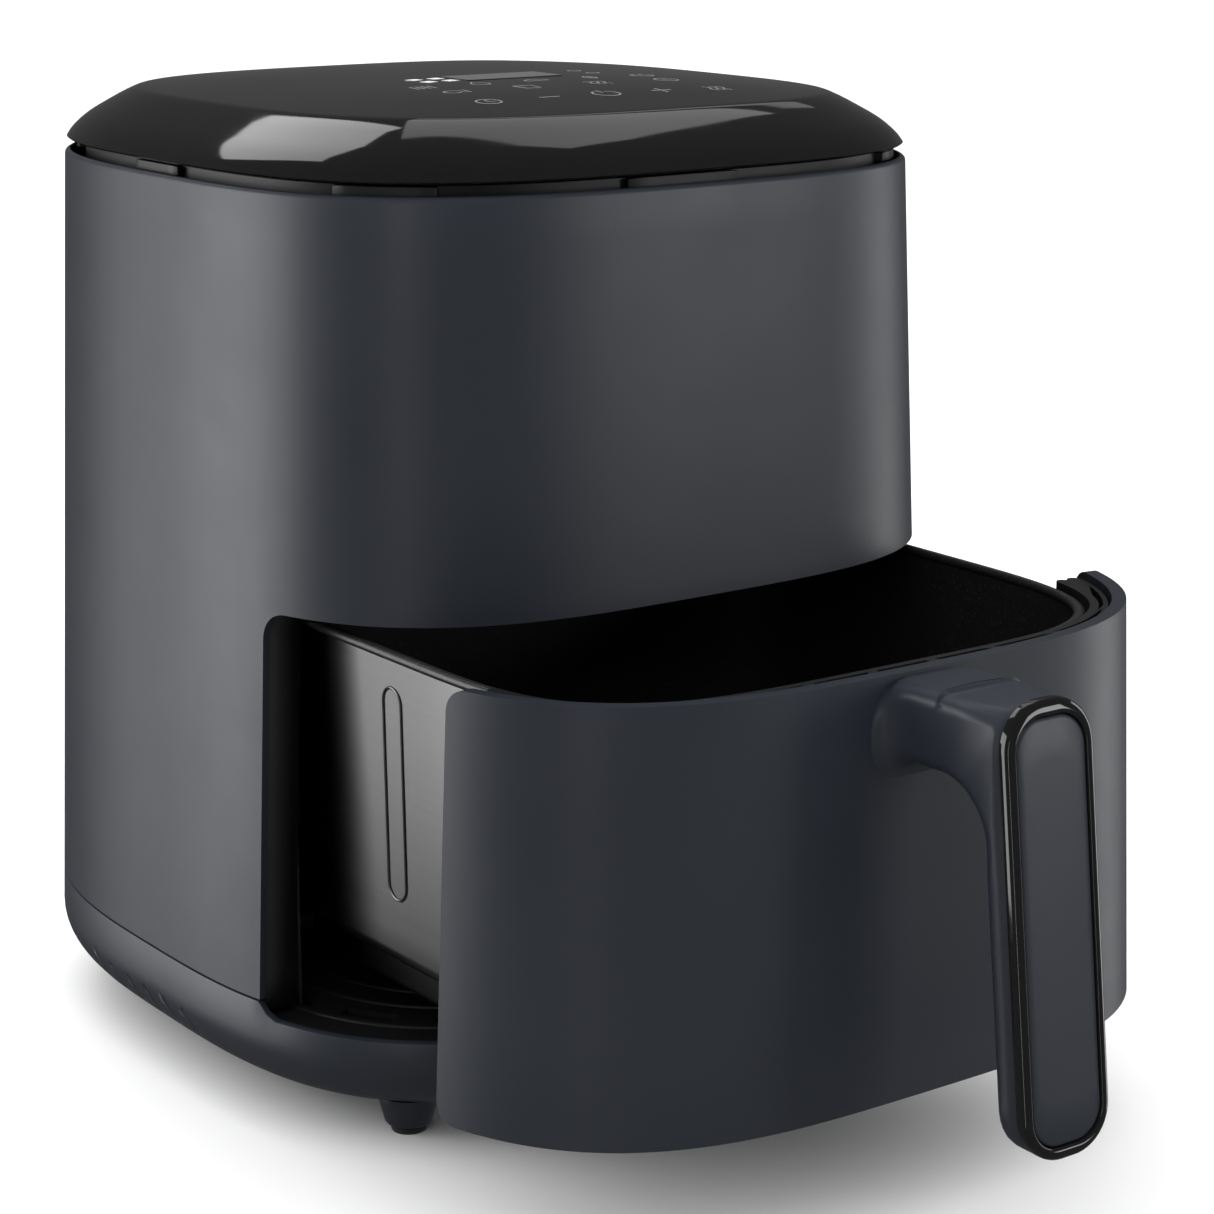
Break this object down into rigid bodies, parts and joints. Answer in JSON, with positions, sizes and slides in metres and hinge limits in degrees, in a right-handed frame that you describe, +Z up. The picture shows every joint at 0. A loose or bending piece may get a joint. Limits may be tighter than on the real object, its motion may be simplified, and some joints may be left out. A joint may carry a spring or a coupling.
{
  "type": "air fryer",
  "caption": "Drawer air fryer with a rounded upright body, glossy domed lid with touch panel, and a pull-out basket drawer with an upright handle, shown drawn out.",
  "frame": {"origin": "on the floor under the middle of the bounding box, with the drawer drawn out", "axes": "+X to the right seen from the front, -Y out of the front, +Z up"},
  "size_m": [0.2732, 0.452, 0.3276],
  "materials": {
    "slate_plastic": "fine matt texture",
    "gloss_black": "high gloss",
    "black_plastic": "matt",
    "display_smoke": "smoked",
    "satin_steel": "satin",
    "plated_steel": "plated",
    "dark_coating": "non-stick coating",
    "black_rubber": "matt",
    "grey_silicone": "matt",
    "green_board": "solder mask",
    "heater_steel": "heat-darkened",
    "brass": "turned"
  },
  "bodies": {
    "housing": {"outer_shell": "slate_plastic", "base_pan": "slate_plastic", "foot_front_left": "slate_plastic", "foot_front_right": "slate_plastic", "foot_rear_left": "slate_plastic", "foot_rear_right": "slate_plastic", "lid_cover": "gloss_black", "vent_ring": "black_plastic", "cavity_floor": "black_plastic", "opening_frame": "black_plastic", "thermal_cutout": "black_plastic", "exhaust_grille": "black_plastic", "cord_gland": "black_plastic", "switch_housing": "black_plastic", "display_window": "display_smoke", "slide_rail_left": "plated_steel", "slide_rail_right": "plated_steel", "heater_guard": "plated_steel", "guard_bracket": "plated_steel", "motor_deck": "plated_steel", "fan_motor": "plated_steel", "temperature_sensor": "plated_steel", "base_screw_1": "plated_steel", "base_screw_2": "plated_steel", "base_screw_3": "plated_steel", "base_screw_4": "plated_steel", "cavity_liner": "dark_coating", "foot_pad_front_left": "black_rubber", "foot_pad_front_right": "black_rubber", "foot_pad_rear_left": "black_rubber", "foot_pad_rear_right": "black_rubber", "control_board": "green_board", "power_board": "green_board", "heater_coil": "heater_steel"},
    "drawer": {"drawer_front": "slate_plastic", "drawer_frame": "black_plastic", "lower_brace": "black_plastic", "basket": "satin_steel", "handle_arm": "slate_plastic", "handle_grip": "slate_plastic", "handle_bezel": "gloss_black", "handle_insert": "slate_plastic"},
    "crisper": {"crisper_plate": "dark_coating", "crisper_bumper_1": "grey_silicone", "crisper_bumper_2": "grey_silicone", "crisper_bumper_3": "grey_silicone", "crisper_bumper_4": "grey_silicone"},
    "fan": {"motor_shaft": "plated_steel", "hot_air_fan": "plated_steel", "cooling_fan": "black_plastic", "fan_nut": "brass"},
    "plunger": {"switch_plunger": "black_plastic"}
  },
  "joints": [
    {"name": "drawer_slide", "type": "slide", "parent": "housing", "child": "drawer", "axis": [0, -1, 0], "range_m": [-0.1025, 0.125]},
    {"name": "crisper_lift", "type": "slide", "parent": "drawer", "child": "crisper", "axis": [0, 0, 1], "range_m": [0, 0.1]},
    {"name": "fan_spin", "type": "hinge", "parent": "housing", "child": "fan", "pos_m": [0, 0.07805, 0.218], "axis": [0, 0, 1], "continuous": true},
    {"name": "plunger_travel", "type": "slide", "parent": "housing", "child": "plunger", "axis": [0, 1, 0], "range_m": [0, 0.003], "stiffness_N_per_m": 200, "springref_m": -0.005}
  ]
}
